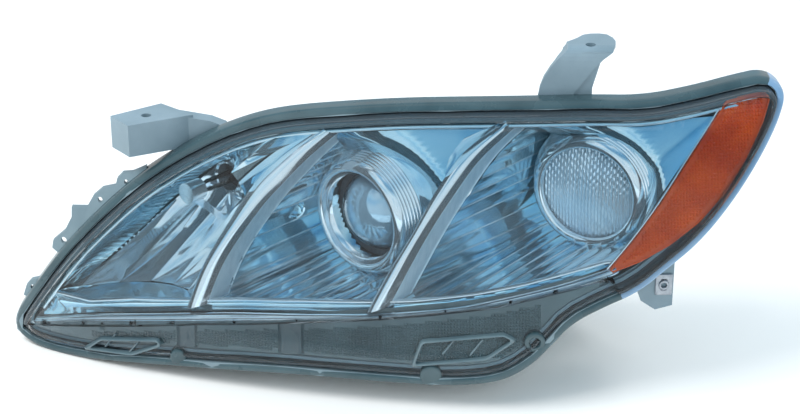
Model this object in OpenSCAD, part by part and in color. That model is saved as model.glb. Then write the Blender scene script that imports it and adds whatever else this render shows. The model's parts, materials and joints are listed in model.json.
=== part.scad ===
// Left-hand car headlamp: clear lens, grey housing, chrome bezel, projector low beam,
// reflector high beam, turn lamp and amber side reflex, with aiming screws and twist-in bulbs.
// Axes: +X outboard, -Y towards the nose of the car, +Z up. Origin: bore of the outer bracket.

/* [Lens face] */
// Sweep of the lens face back from the nose, in degrees
sweep = 42; // [41.5:0.5:42.5]
// Ring radius of the torus that the face lies on
face_ring_r = 486; // [483:1:489]
// Tube radius of the same torus
face_tube_r = 420; // [418:1:422]
// Wall of the clear lens
lens_wall = 3; // [2.5:0.25:3]
// Depth of the lens rim behind the face
rim_depth = 12; // [11.5:0.25:12]
// How far the lower skirt lies behind the face
skirt_set = 8; // [7:0.5:8]

/* [Housing] */
// Wall of the housing
wall = 2.5; // [2:0.25:2.75]
// Downward slope of the housing behind the flange, in degrees
draft = 26; // [25:0.5:27]
// Lowest level of the housing
housing_bottom = -143; // [-145:1:-142]

/* [Optics] */
// Radius of the opening in both bezel rings
ring_open_r = 40; // [39:0.5:41]
// Radius of the projector lens
proj_lens_r = 35; // [33:0.5:36]
// Focal length of the high beam reflector
high_focal = 26; // [25:0.5:27]

/* [Fixings] */
// Radius of the bolt holes in the brackets
bolt_r = 4.3; // [4.2:0.05:4.5]
// Radius of the aiming screws
aim_screw_r = 3; // [2.8:0.1:3.2]

/* [Hidden] */
$fn = 96;

// Running clearance in round fits, and the plain gap between neighbours
run = 0.05;
gap = 0.3;
// Bore of the outer bracket in lamp coordinates, which is the part's origin
bolt_at = [63, 162, 110];

// Torus centre in the chord frame: along the face, towards the rear, up
face_at = [120, 840, -210];

// Lamp outline seen square to the lens chord: [along the face, up]
top_line = [
  [-329, -141], [-305, -105], [-281, -73], [-257, -47], [-222, -14], [-184, 12], [-148, 31],
  [-116, 43], [-85, 50], [-37, 56], [9, 60], [56, 62], [96, 63], [154, 64], [198, 62.5], [242, 67.5],
  [275, 72.5], [300, 75],
];
wing_line = [[309.5, 68], [304.5, 56], [287.5, 32], [262, 2], [235.5, -23.5], [211, -40], [187, -57]];
skirt_line = [
  [160, -67], [133, -80], [117, -97], [100, -114], [78, -126], [43, -130], [-17, -130], [-76, -130],
  [-137, -134], [-199, -140], [-265, -149], [-311, -151],
];
lamp_outline = concat(top_line, wing_line, skirt_line);
// Where the proud face steps back to the skirt, closed far outside the lamp on the other sides
step_line = [
  [-420, -155], [-329, -138], [-251, -121], [-164, -104], [-81, -92], [-24, -85], [19, -79],
  [76, -71], [132, -58], [165, -50], [185, -70], [420, -70], [420, 260], [-420, 260],
];

// Plan of the housing behind the flange: three bays, each with its own back
bay_high_y = 8;
bay_low_y = 118;
bay_turn_y = 205;
wing_back = 112;
back_plan = [
  [-300, -420], [-300, -135], [-274, -60], [-264, bay_high_y], [-124, bay_high_y],
  [-124, bay_low_y], [16, bay_low_y], [16, bay_turn_y], [60, bay_turn_y], [178, 311], [420, 311],
  [420, -420],
];

// Seal channel: lip outside the lens, channel outside, channel inside, inner lip
lip_out = -6;
channel_out = -1.2;
channel_in = 4.2;
lip_in = 6.7;
floor_front = 15;
floor_rear = 18;
outer_lip_front = 9;
inner_lip_front = 12.5;

// Cells of the bezel in the XZ plane, and the depth of each back wall
cell_high = [
  [-258, -104], [-246, -72], [-230, -44], [-205, -15], [-172, 8], [-140, 24], [-104, 33],
  [-112, 10], [-122, -14], [-131, -42], [-136, -70], [-139, -92],
];
cell_low = [
  [-122, -90], [-116, -60], [-101, -15], [-83, 22], [-70, 42], [-20, 48], [26, 50], [18, 24],
  [11, 0], [4, -28], [-1, -55], [-4, -76],
];
cell_turn = [
  [9, -74], [14, -50], [20, -20], [26, 10], [34, 36], [44, 52], [90, 53.5], [138, 51], [147, 36],
  [146, 10], [140, -20], [132, -40], [90, -56], [50, -67],
];
cell_high_y = -70;
cell_low_y = 38;
cell_turn_y = 160;

// Blades between the cells, in the same plane
blade_inner_line = [
  [-135.5, -90], [-131.5, -62], [-122, -27], [-113.5, 4], [-100.5, 26], [-84, 44],
  [-76, 40], [-86, 24], [-95.5, 6], [-105.5, -15], [-119.5, -56], [-126, -86],
];
blade_middle_line = [
  [-1, -74], [5, -52], [12, -21], [17, 9], [23, 34], [36, 53],
  [43, 50], [35, 34], [26, 8], [21, -20], [13, -53], [7, -72],
];
blade_depth = 24;

// Optical axes in the XZ plane
proj_x = -56;
proj_z = -30;
proj_y = 8;
high_x = -180;
high_z = -19;
high_y = -18;
turn_at = [85, 134, -8];
turn_toe = 14;
marker_u = 235;
marker_z = 22;

// Tilt axes and aiming screws
low_pivot = [proj_x, 80, proj_z];
low_nut = [proj_x, 80, -90];
high_pivot = [-190, -38, -70];
high_nut = [-136, -30, 8];

// Colours
clear = [0.85, 0.93, 1, 0.35];
grey = [0.42, 0.46, 0.48];
bracket_grey = [0.55, 0.60, 0.63];
chrome = [0.80, 0.85, 0.92];
satin = [0.70, 0.76, 0.82];
amber = [0.90, 0.35, 0.05];
dark = [0.15, 0.17, 0.18];
white = [0.93, 0.92, 0.88];
steel = [0.62, 0.64, 0.66];

// ---- Outline helpers ----

function unit(v) = v / norm(v);
function right_of(v) = [v[1], -v[0]];

// Moves every side of a clockwise outline inwards by d
function inset(p, d) = [
  for (i = [0:len(p) - 1])
    let (
      before = right_of(unit(p[i] - p[(i + len(p) - 1) % len(p)])),
      after = right_of(unit(p[(i + 1) % len(p)] - p[i]))
    )
    p[i] + d * (before + after) / (1 + before * after)
];

// Cuts every corner once, which rounds the outline
function rounded(p) = [
  for (i = [0:len(p) - 1])
    let (a = p[i], b = p[(i + 1) % len(p)])
    each [a * 0.75 + b * 0.25, a * 0.25 + b * 0.75]
];
function outline(d) = rounded(inset(lamp_outline, d));
function raised(p, h) = [for (q = p) [q[0], q[1] + h]];

// Depth of the offset face behind the chord plane at a point of the outline
function face_depth(q, off) =
  let (
    ring = sqrt(pow(face_tube_r - off, 2) - pow(q[1] - face_at[2], 2)) + face_ring_r,
    side = q[0] - face_at[0]
  )
  face_at[1] - sqrt(ring * ring - side * side);

// ---- Placing helpers ----

module chord() rotate([0, 0, sweep]) children();
module part_frame() translate(-bolt_at) children();

// Solid behind the lens face, moved inwards by off. The torus is drawn as flat panels: each
// meridian strip is a straight extrusion of the face's section, and the strips meet at mitres.
panel_turn = 6;
panel_first = -33;
panel_last = 15;
section_low = 4;
section_high = 52;
module face(off) {
  r = face_tube_r - off;
  arc = [
    for (a = [section_low:panel_turn:section_high]) [face_ring_r + r * cos(a), r * sin(a)]
  ];
  section = concat([[0, arc[0][1] - 240], [arc[0][0] + 12, arc[0][1] - 240]], arc, [[0, 560]]);
  chord() translate(face_at) intersection_for(a = [panel_first:panel_turn:panel_last])
    rotate([0, 0, a - 90]) translate([0, 700, 0]) rotate([90, 0, 0]) linear_extrude(1400)
      polygon(section);
}

// Outline pushed straight back along the chord's normal
module prism(p, from = -330, to = 420)
  chord() translate([0, to, 0]) rotate([90, 0, 0]) linear_extrude(to - from) polygon(p);

// Outline pushed back and down, through the flange's curve
module sloped_prism(p, off)
  chord() rotate([90 - draft, 0, 0]) translate([0, 0, -420]) linear_extrude(700)
    polygon([for (q = p) [q[0], q[1] * cos(draft) + face_depth(q, off) * sin(draft)]]);

// Space inside the flange and the sloped housing, at an inset
module inside(d) intersection() {
  prism(outline(d));
  sloped_prism(outline(d), floor_rear);
}

// Level of the sloped housing at a depth, below a point of the outline
function roof(q, depth) = q[1] - (depth - face_depth(q, floor_rear)) * tan(draft);

// Shape in the XZ plane pushed from y0 to y1 along the car's length
module along_car(p, y0, y1)
  translate([0, y1, 0]) rotate([90, 0, 0]) linear_extrude(y1 - y0) polygon(p);

// Shape in plan, over the whole height
module plan(p, low = -260, high = 260) translate([0, 0, low]) linear_extrude(high - low) polygon(p);

// Round parts on an axis that runs to the rear, starting at a point
module rearward(at) translate(at) rotate([-90, 0, 0]) children();
module rod(r, from, to, fn = 96) translate([0, 0, from]) cylinder(r = r, h = to - from, $fn = fn);
module tube(r_out, r_in, from, to) {
  difference() {
    rod(r_out, from, to);
    rod(r_in, from - 1, to + 1);
  }
}
module turned(profile) rotate_extrude($fn = 128) polygon(profile);

module low_axis(y = 0) rearward([proj_x, y, proj_z]) children();
module high_axis(y = 0) rearward([high_x, y, high_z]) children();
module turn_axis() translate(turn_at) rotate([0, 0, turn_toe]) rearward([0, 0, 0]) children();
module marker_axis() chord() rearward([marker_u, 0, marker_z]) children();

// Space that the lens encloses, at an inset and a depth
module lens_space(d) intersection() {
  prism(outline(d));
  union() {
    face(skirt_set + d);
    intersection() {
      face(d);
      prism(raised(step_line, d));
    }
  }
}

// ---- Clear lens, seal and housing ----

pocket_left = [[-268, -146], [-252, -133], [-201, -124], [-199, -128], [-224, -142]];
pocket_right = [[9, -121], [17, -100], [83, -92], [93, -96], [70, -113]];

module outer_lens() color(clear) part_frame() {
  difference() {
    lens_space(0);
    lens_space(lens_wall);
    face(rim_depth);
  }
  for (p = [pocket_left, pocket_right])
    difference() {
      intersection() {
        prism(p);
        face(skirt_set - 5);
      }
      prism(inset(p, 2.5));
      face(skirt_set + 0.5);
    }
}

module lens_sealant() color(dark) part_frame() difference() {
  intersection() {
    prism(outline(channel_out + gap));
    face(rim_depth);
  }
  prism(outline(channel_in - gap));
  face(floor_front);
}

// Fixing tabs along the inboard edge of the flange: outline and hole centre
tabs = [
  [[[-325, -118], [-322, -109], [-317, -103], [-310, -100], [-298, -98], [-308, -120]], [-316, -109], 2],
  [
    [[-297, -73], [-296, -67], [-285, -57], [-279, -46], [-279, -38], [-261, -35], [-250, -42], [-280, -82]],
    [-286, -65], 2.6,
  ],
  [[[-265, -36], [-259, -26], [-251, -19], [-239, -15], [-226, -16], [-250, -44]], [-253, -28], 2.2],
  [[[-240, -18], [-238, -10], [-233, -5], [-224, -3], [-212, 3], [-214, -14], [-230, -26]], [-230, -11], 1.8],
];
tab_front = 10;

module flange() {
  difference() {
    union() {
      intersection() {
        prism(outline(lip_out));
        face(outer_lip_front);
      }
      for (t = tabs)
        intersection() {
          prism(t[0]);
          face(tab_front + 4);
        }
    }
    face(floor_rear);
    prism(outline(lip_in));
    difference() {
      prism(outline(channel_out));
      prism(outline(channel_in));
      face(floor_front);
    }
    difference() {
      prism(outline(channel_in));
      face(inner_lip_front);
    }
    for (t = tabs)
      chord() rearward([t[1][0], 0, t[1][1]]) rod(t[2], 0, 200);
  }
}

module above(z) translate([-600, -600, z]) cube([1200, 1200, 600]);

module housing_block(d, thick, low) intersection() {
  sloped_prism(outline(d), floor_rear);
  plan(inset(back_plan, thick));
  above(low);
}

low_port_r = 46;
high_port_r = 36;
socket_bore_r = 14.2;
marker_bore_r = 11.2;
vents = [[-106, bay_low_y, -82], [36, bay_turn_y, -34]];
boot_collar = 10;

// Body behind the flange, with a round turret where the high beam port rises above the roof
turret_depth = 22;
module housing_body() difference() {
  union() {
    intersection() {
      housing_block(channel_in, 0, housing_bottom);
      face(floor_rear - 2);
    }
    high_axis(bay_high_y) rod(high_port_r + 3, -turret_depth, boot_collar);
  }
  housing_block(lip_in, wall, housing_bottom + wall);
  high_axis(bay_high_y) rod(high_port_r, wall - turret_depth, boot_collar + 1);
}

module housing() color(grey) part_frame() difference() {
  union() {
    flange();
    housing_body();
    low_axis(bay_low_y) rod(low_port_r + 3, -wall, boot_collar);
    turn_axis() tube(socket_bore_r + 3, socket_bore_r, 57, turn_seat);
    marker_axis() tube(marker_bore_r + 2.5, marker_bore_r, wing_back - 12, wing_back + 8);
    for (v = vents)
      rearward(v) rod(5, -wall, 9);
    rearward([low_nut[0], bay_low_y, low_nut[2]]) rod(7, -8, 3);
    rearward([high_nut[0], bay_high_y, high_nut[2]]) rod(7, -8, 3);
    for (i = [0, 1])
      rearward(bezel_ears[i]) rod(4.5, 0, [bay_high_y, bay_low_y][i] - bezel_ears[i][1] - 1);
  }
  for (e = bezel_ears)
    rearward(e) rod(screw_r + run, -1, 12);
  for (q = bracket_screw_at)
    bracket_screw_axis(q) rod(screw_r + run, -12, 12);
  low_axis(bay_low_y) rod(low_port_r, -20, 20);
  turn_axis() rod(socket_bore_r, 50, 110);
  marker_axis() rod(marker_bore_r, wing_back - 20, wing_back + 30);
  for (v = vents)
    rearward(v) rod(3, -20, 20);
  for (n = [[low_nut, bay_low_y], [high_nut, bay_high_y]])
    rearward([n[0][0], n[1], n[0][2]]) rod(aim_screw_r + run, -20, 20);
}

// ---- Bezel and its trims ----

bezel_front = 9;
bezel_wall = 2.2;
bezel_inset = 8;

module cell_tube(p, back) intersection() {
  along_car(inset(p, -bezel_wall), -260, back + bezel_wall);
  face(bezel_front);
  inside(bezel_inset);
  plan(inset(back_plan, wall + gap));
}
module cell_void(p, back) along_car(p, -300, back);

// Ears that screw the bezel to posts in the housing: [x, y, z]
bezel_ears = [[-190, cell_high_y + bezel_wall, -106], [-30, cell_low_y + bezel_wall, -98]];
blade_cut_rear = 140;

module bezel() color(chrome) part_frame() difference() {
  union() {
    for (e = bezel_ears)
      translate([e[0] - 6, e[1] - 3, e[2] - 6]) cube([12, 3, 24]);
    intersection() {
      prism(outline(bezel_inset));
      prism(raised(step_line, 5));
      difference() {
        face(bezel_front);
        face(bezel_front + bezel_wall);
      }
    }
    cell_tube(cell_high, cell_high_y);
    cell_tube(cell_low, cell_low_y);
    cell_tube(cell_turn, cell_turn_y);
  }
  cell_void(cell_high, 200);
  cell_void(cell_low, cell_low_y);
  cell_void(cell_turn, cell_turn_y);
  for (b = [blade_inner_line, blade_middle_line])
    along_car(inset(b, -gap), -300, blade_cut_rear);
  low_axis() rod(58, 0, 80);
  turn_axis() rod(58, 0, 80);
  for (e = bezel_ears)
    rearward(e) rod(screw_r + run, -10, 10);
  amber_block(-gap, bezel_front - 1, bezel_front + 6);
}

module blade(p) intersection() {
  along_car(p, -300, 300);
  inside(bezel_inset);
  difference() {
    face(bezel_front);
    face(bezel_front + blade_depth);
  }
}
module blade_inner() color(satin) part_frame() blade(blade_inner_line);
module blade_middle() color(satin) part_frame() blade(blade_middle_line);

// Ribbed barrel ring, opening towards the front at zero
ring_ribs = 6;
ring_profile = concat(
  [[ring_open_r, 1], [ring_open_r + 2, 0], [ring_open_r + 7, 2.5], [ring_open_r + 9.4, 5]],
  [for (i = [0:ring_ribs - 1]) each [
    [ring_open_r + 9.4 + i * 1.2, 6.5 + i * 2.6], [ring_open_r + 10.6 + i * 1.2, 7.4 + i * 2.6]
  ]],
  [[56, 22.5], [56, 32], [53.5, 32], [53.5, 24], [ring_open_r + 6.2, 7], [ring_open_r, 3.5]]
);

module projector_ring() color(chrome) part_frame() low_axis(proj_y) turned(ring_profile);
module turn_ring() color(chrome) part_frame() turn_axis() turned(ring_profile);

module turn_inner_lens() color(clear) part_frame() turn_axis()
  turned([[0, 5.5], [30, 7], [44, 9.5], [46, 9.5], [46, 12], [43, 12], [30, 9.5], [0, 8]]);

module turn_reflector() color(chrome) part_frame() turn_axis() {
  bowl = [for (i = [0:7]) let (r = 16 + i * 4) [r, 54 - r * r / 46.6]];
  difference() {
    turned(concat(bowl, [[47.5, 12.5], [47.5, 14.5]], [for (i = [7:-1:0]) bowl[i] + [1.5, 3]]));
    rod(15, 30, 70);
  }
}

// Amber reflex plate in the wing
amber_line = [
  [262, 63], [312, 75], [298, 48], [265, 3], [221, -31], [172, -47], [168, -45], [208, -2], [234, 30],
];
module amber_block(d, near, far) intersection() {
  prism(inset(amber_line, d));
  prism(outline(bezel_inset + d));
  difference() {
    face(near);
    face(far);
  }
}
module amber_reflex() color(amber) part_frame() amber_block(0, bezel_front, bezel_front + 3.5);

// Knurled strip between the step and the lower edge of the lamp
module lower_trim() color(dark) part_frame() difference() {
  intersection() {
    prism(outline(bezel_inset));
    face(13);
  }
  face(15);
  prism(raised(step_line, 4.5));
}

// ---- Brackets ----

inner_plan = [[-236, -98], [-227, -50], [-187, -50], [-208, -103]];
inner_top = 45;
inner_bolt = [-215, -77];
// Arm from the box down to its foot, seen across the chord
inner_arm = [
  [-196, 37], [-196, 45], [-186, 45], [-158, 40], [-146, 35], [-141, 28], [-141, 5], [-166, 5],
  [-182, 13], [-190, 22],
];

// Screws through the bracket feet, square to the sloped housing: [along, depth, outline level]
screw_r = 2;
bracket_screw_at = [[-131, 92.5, 38.2], [122, 96, 64.7], [150, 96, 65.7]];
module bracket_screw_axis(q) chord()
  translate([q[0], q[1], roof([q[0], q[2] - channel_in], q[1])]) rotate([-draft, 0, 0]) children();

foot_thick = 4;
screw_head_r = 4.5;
// Clearance hole with a spot face for the screw's head
module screw_hole() {
  rod(screw_r + run, -20, 20);
  rod(screw_head_r + 0.7, foot_thick, 25);
}

// Foot plate that lies on the sloped housing between two places along the chord
module foot(from, to, near, far) difference() {
  intersection() {
    sloped_prism(outline(channel_in - foot_thick), floor_rear);
    chord() translate([from, near, -40]) cube([to - from, far - near, 160]);
  }
  sloped_prism(outline(channel_in - 0.02), floor_rear);
}

module inner_bracket() color(bracket_grey) part_frame() difference() {
  union() {
    plan(inner_plan, 17, inner_top);
    difference() {
      prism(inner_arm, 86, 100);
      sloped_prism(outline(channel_in - 0.02), floor_rear);
    }
    foot(-142, -122, 86, 99);
  }
  plan(inset(inner_plan, 3), 10, inner_top - 4);
  translate([inner_bolt[0], inner_bolt[1], 0]) rod(bolt_r, 0, 60);
  bracket_screw_axis(bracket_screw_at[0]) screw_hole();
}

// Curved arm: its strap seen across the chord, its curve in side view and its ear in plan
arm_face = [
  [112, 40], [112, 66], [115, 82], [125, 98], [139, 111], [139, 130], [182, 130], [182, 113],
  [174, 107], [162, 98], [147, 78], [134, 60], [134, 40],
];
arm_side = [
  [67.5, 50], [67.5, 84], [67.8, 98], [68.6, 105], [71, 108.6], [75, 110], [80, 110], [112, 110],
  [112, 106], [82, 106], [77, 103], [73, 96], [71.5, 84], [71.5, 50],
];
ear_plan = [
  [100, 60], [126, 78], [142, 90], [154, 107], [169, 108], [177, 92], [175, 72], [165, 60],
];
module arm_strap() intersection() {
  prism(rounded(arm_face));
  chord() rotate([90, 0, 90]) linear_extrude(300) polygon(rounded(arm_side));
  chord() plan(rounded(ear_plan));
}
gusset = [[130, 30], [157, 30], [157, 76], [163, 98], [170, 106.5], [148, 106.5], [142, 92], [133, 66]];
nut_room_r = 7.5;
module outer_bracket() color(bracket_grey) part_frame() difference() {
  union() {
    arm_strap();
    prism(gusset, 69, 72.5);
    foot(112, 158, 67.5, 104);
  }
  translate(bolt_at) rod(bolt_r, -10, 10);
  translate(bolt_at) rod(nut_room_r, -26, -4);
  sloped_prism(outline(channel_in - 0.02), floor_rear);
  for (i = [1, 2])
    bracket_screw_axis(bracket_screw_at[i]) screw_hole();
}

lug_line = [[188, -62], [224, -45], [224, -92], [210, -96], [198, -88]];
lug_wall = 3.5;
lug_bolt = [212, 25, -72];
module lug_axis() chord() translate(lug_bolt) rotate([0, 90, 0]) children();
module lower_bracket() color(bracket_grey) part_frame() difference() {
  prism(lug_line, 8, 42);
  intersection() {
    prism(inset(lug_line, lug_wall), 12, 60);
    chord() translate([0, 0, -200]) cube([lug_bolt[0], 100, 300]);
  }
  chord() translate([lug_bolt[0] + lug_wall, 12, -88]) cube([20, 26, 38]);
  sloped_prism(outline(channel_in - 0.02), floor_rear);
  lug_axis() rod(bolt_r, -5, 20);
}
module lower_bracket_nut() color(steel) part_frame() lug_axis() difference() {
  rotate([0, 0, 45]) rod(9, -6, 0, 4);
  rod(bolt_r - 0.8, -7, 1);
}

module bracket_screws() color(steel) part_frame()
  for (q = bracket_screw_at)
    bracket_screw_axis(q) {
      rod(screw_r, -8, foot_thick);
      rod(screw_head_r, foot_thick, foot_thick + 3, 6);
    }

module bezel_screws() color(steel) part_frame()
  for (e = bezel_ears)
    rearward(e) {
      rod(4, -5.4, -3, 6);
      rod(screw_r, -3, 11);
    }

module vent_caps() color(dark) part_frame()
  for (v = vents)
    rearward(v) difference() {
      rod(8, 2, 13);
      rod(5, 1, 10);
    }

// ---- Boots, pivots and clips ----

boot_hole_r = 22.5;
module boot(port_r) turned([
  [boot_hole_r, 14], [port_r - 8, 8], [port_r - 4, 4], [port_r - 4, 0], [port_r - run, 0],
  [port_r - run, boot_collar], [port_r + 3, boot_collar], [port_r + 3, boot_collar + 3],
  [port_r - 3, boot_collar + 3], [boot_hole_r + 4, 16], [boot_hole_r + 2, 20], [boot_hole_r, 20],
]);
module low_boot() color(dark) part_frame() low_axis(bay_low_y) boot(low_port_r);
module high_boot() color(dark) part_frame() high_axis(bay_high_y) boot(high_port_r);

pin_r = 4;
low_pin_at = 54;
module low_pivot_pins() color(steel) part_frame()
  for (s = [-1, 1])
    translate(low_pivot + [s * (low_pin_at + 4), 0, 0]) rotate([0, 90, 0]) rod(pin_r, -6, 6);

module pivot_bracket_low() color(grey) part_frame()
  for (s = [-1, 1])
    difference() {
      translate(low_pivot + [s * (low_pin_at + 7) - 3, -8, -8]) cube([6, bay_low_y - wall - 72, 16]);
      translate(low_pivot + [s * (low_pin_at + 7), 0, 0]) rotate([0, 90, 0]) rod(pin_r + run, -10, 10);
    }

high_pins = [[-246, -1], [-131, 1]];
module high_pivot_pins() color(steel) part_frame()
  for (p = high_pins)
    translate([p[0], high_pivot[1], high_pivot[2]]) rotate([0, 90, 0]) rod(pin_r, -6, 6);
module pivot_bracket_high() color(grey) part_frame()
  for (p = high_pins)
    difference() {
      translate([p[0] + p[1] * 3 - 2.5, high_pivot[1] - 8, high_pivot[2] - 8]) cube([5, bay_high_y - wall - high_pivot[1] + 8, 16]);
      translate([p[0], high_pivot[1], high_pivot[2]]) rotate([0, 90, 0]) rod(pin_r + run, -12, 12);
    }

clip_seat = 11;
module aim_screw_clips() color(steel) part_frame()
  for (n = [[low_nut, bay_low_y], [high_nut, bay_high_y]])
    rearward([n[0][0], n[1] - clip_seat, n[0][2]]) tube(7, aim_screw_r + run, 0, 1.5);

// ---- Low beam unit ----

module projector_lens() color(clear) part_frame() low_axis(proj_y) turned([
  [0, 8], [10, 8.6], [19, 10.6], [26, 13.8], [proj_lens_r - 4, 17.6], [proj_lens_r - 1, 22],
  [proj_lens_r - 1, 23], [proj_lens_r + 1.5, 23], [proj_lens_r + 1.5, 26], [0, 26],
]);

holder_flange_y = 56;
module flange_screws(r, from, to, fn = 48)
  for (a = [45:90:315])
    rotate([0, 0, a]) translate([49.5, 0, 0]) rod(r, from, to, fn);

module lens_holder() color(steel) part_frame() low_axis(proj_y) difference() {
  turned([
    [proj_lens_r - 1 + gap, 21.5], [39.5, 21.5], [39.5, 38], [47, 54], [53, 54], [53, 58],
    [44.5, 58], [44.5, 55], [37, 38.5], [proj_lens_r + 1.5 + run, 26],
    [proj_lens_r + 1.5 + run, 23 - run], [proj_lens_r - 1 + gap, 23 - run],
  ]);
  flange_screws(2.05, 50, 60);
}

module cutoff_shade() color(steel) part_frame() low_axis(proj_y) intersection() {
  rod(44.3, holder_flange_y - 0.4, holder_flange_y + 1.2);
  translate([-60, 2, 0]) cube([120, 60, 100]);
}

bowl_r = 44;
bowl_len = 52;
module projector_reflector() color(chrome) part_frame() low_axis(proj_y) {
  inner = [for (t = [0:8:72]) [(bowl_r - 3) * cos(t), 58 + (bowl_len - 4) * sin(t)]];
  outer = [for (t = [72:-8:0]) [bowl_r * cos(t), 58 + bowl_len * sin(t)]];
  difference() {
    union() {
      turned(concat([[53, 58]], [[bowl_r - 3, 58]], inner, outer, [[bowl_r, 61], [53, 61]]));
      rod(19, 106, 109);
      tube(21, 16, 100, 109);
      for (s = [-1, 1])
        translate([s * 46, 0, 72]) rotate([0, s * 90, 0]) rod(7, -6, 6);
      translate([-9, 36, 66]) cube([18, 34, 12]);
    }
    turned(concat(inner, [[0, 112], [0, 58]]));
    rod(16, 98, 106);
    rod(bulb_neck_r + run, 90, 120);
    bulb_notches(100, 112);
    flange_screws(2.05, 50, 70);
    translate([-nut_pocket / 2, 60 - nut_pocket / 2, 60]) cube([nut_pocket, nut_pocket, 30]);
  }
}

module projector_screws() color(steel) part_frame() low_axis(proj_y) {
  flange_screws(2, 54.5, 61);
  flange_screws(3.6, 61, 63.5, 6);
}

// ---- Bulbs: a glass capsule on a round base with its connector ----

bulb_neck_r = 12;
lug_r = 14;
module bulb_notches(from, to)
  for (a = [45:120:285])
    rotate([0, 0, a]) translate([0, -3.5, from]) cube([lug_r + 0.5, 7, to - from]);
module bulb_lugs(from, to) intersection() {
  tube(lug_r, bulb_neck_r - 0.5, from, to);
  for (a = [0:120:240])
    rotate([0, 0, a]) translate([0, -3, from - 1]) cube([lug_r + 2, 6, to - from + 2]);
}
module bulb_glass(neck_end) {
  rod(5.5, neck_end - 46, neck_end - 10);
  translate([0, 0, neck_end - 46]) sphere(r = 5.5);
}
module bulb_base(neck_end) difference() {
  union() {
    rod(bulb_neck_r, neck_end - 9, neck_end);
    bulb_lugs(neck_end - 8.5, neck_end - 4.5);
    rod(16.5, neck_end + 2.4, neck_end + 5);
    rod(bulb_neck_r, neck_end - 1, neck_end + 3);
    rod(13, neck_end + 5, neck_end + 18);
    translate([-9, -8, neck_end + 8]) cube([18, 25, 14]);
  }
  rod(5.5 + run, neck_end - 30, neck_end - 5);
  translate([-7, -2, neck_end + 14]) cube([14, 17, 10]);
}
module bulb_oring(neck_end) translate([0, 0, neck_end + 1.2]) rotate_extrude() translate([13.3, 0]) circle(r = 1.15, $fn = 24);

low_neck_end = proj_y + 109;
high_neck_end = high_y + 17;
module low_bulb_glass() color(clear) part_frame() low_axis() bulb_glass(low_neck_end + 5);
module low_bulb_base() color(dark) part_frame() low_axis() bulb_base(low_neck_end);
module low_bulb_oring() color(amber) part_frame() low_axis() bulb_oring(low_neck_end);
module high_bulb_glass() color(clear) part_frame() high_axis() bulb_glass(high_neck_end + 5);
module high_bulb_base() color(dark) part_frame() high_axis() bulb_base(high_neck_end);
module high_bulb_oring() color(amber) part_frame() high_axis() bulb_oring(high_neck_end);

// ---- Aiming nuts and screws ----

nut_pocket = 14.2;
module aim_nut(at) rearward(at) difference() {
  rotate([0, 0, 45]) rod(8.5, -5, 5, 4);
  rod(aim_screw_r + run, -8, 8);
}
module aim_screw(at, back, from) rearward([at[0], 0, at[2]]) {
  rod(aim_screw_r, from, back + 4);
  rod(8, back + 4, back + 9, 12);
  rod(5, back + 9, back + 16, 6);
}
module low_aim_nut() color(white) part_frame() aim_nut(low_nut);
module low_aim_screw() color(steel) part_frame() aim_screw(low_nut, bay_low_y, low_nut[1] - 12);
module high_aim_nut() color(white) part_frame() aim_nut(high_nut);
module high_aim_screw() color(steel) part_frame() aim_screw(high_nut, bay_high_y, high_nut[1] - 10);

// ---- High beam unit ----

high_clip = [
  [-246, -90], [-238, -68], [-224, -44], [-200, -19], [-172, -2], [-146, 9], [-121, 16],
  [-123, 4], [-130, -20], [-139, -50], [-143, -86],
];
module high_reflector() color(chrome) part_frame() {
  bowl = [for (r = [12:9:111]) [r, high_y - r * r / (4 * high_focal)]];
  difference() {
    union() {
      intersection() {
        high_axis() turned(concat(bowl, [for (i = [len(bowl) - 1:-1:0]) bowl[i] + [0, 3.5]]));
        along_car(high_clip, -200, 40);
        face(22);
      }
      high_axis() rod(19, high_y - 2, high_neck_end);
      for (p = high_pins)
        translate([p[0] - p[1] * 10 - 4, high_pivot[1] - 44, high_pivot[2] - 6]) cube([8, 50, 12]);
      translate([high_nut[0] - 9, high_nut[1] - 14, high_nut[2] - 9]) cube([18, 20, 18]);
    }
    high_axis() rotate_extrude($fn = 128) polygon(concat(bowl, [[111, -300], [0, -300], [0, high_y - 1.3]]));
    high_axis() rod(16, high_y - 10, high_neck_end - 3);
    high_axis() rod(bulb_neck_r + run, high_y - 10, high_y + 40);
    high_axis() bulb_notches(high_y - 10, high_y + 40);
    translate([high_nut[0] - nut_pocket / 2, high_nut[1] - 8, high_nut[2] - nut_pocket / 2])
      cube([nut_pocket, 30, nut_pocket]);
    rearward(high_nut) rod(5, -30, 0);
  }
}

module high_bulb_shield() color(chrome) part_frame() high_axis() {
  front = high_y - 46;
  difference() {
    rod(9, front - 4, front + 12);
    rod(7.8, front - 2.5, front + 13);
  }
  rotate([90, 0, 90]) translate([0, 0, -2]) linear_extrude(4)
    polygon([[8.4, front + 2], [8.4, front + 12], [32, high_y - 10.4], [36, high_y - 13]]);
}

// ---- Turn and marker bulbs ----

module twist_socket(bore_r, seat) {
  rod(bore_r - 0.1, seat - 16, seat);
  rod(bore_r + 5, seat + 2, seat + 6);
  rod(bore_r - 1, seat, seat + 2);
  translate([-bore_r + 4, -6, seat + 6]) cube([2 * bore_r - 8, 12, 16]);
}
module wedge_bulb(r, seat, reach) {
  rod(r, seat - reach, seat - 16);
  translate([0, 0, seat - reach]) sphere(r = r);
}
module socket_gasket(bore_r, seat) tube(bore_r + 3, bore_r - 0.9, seat, seat + 2);

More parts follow.
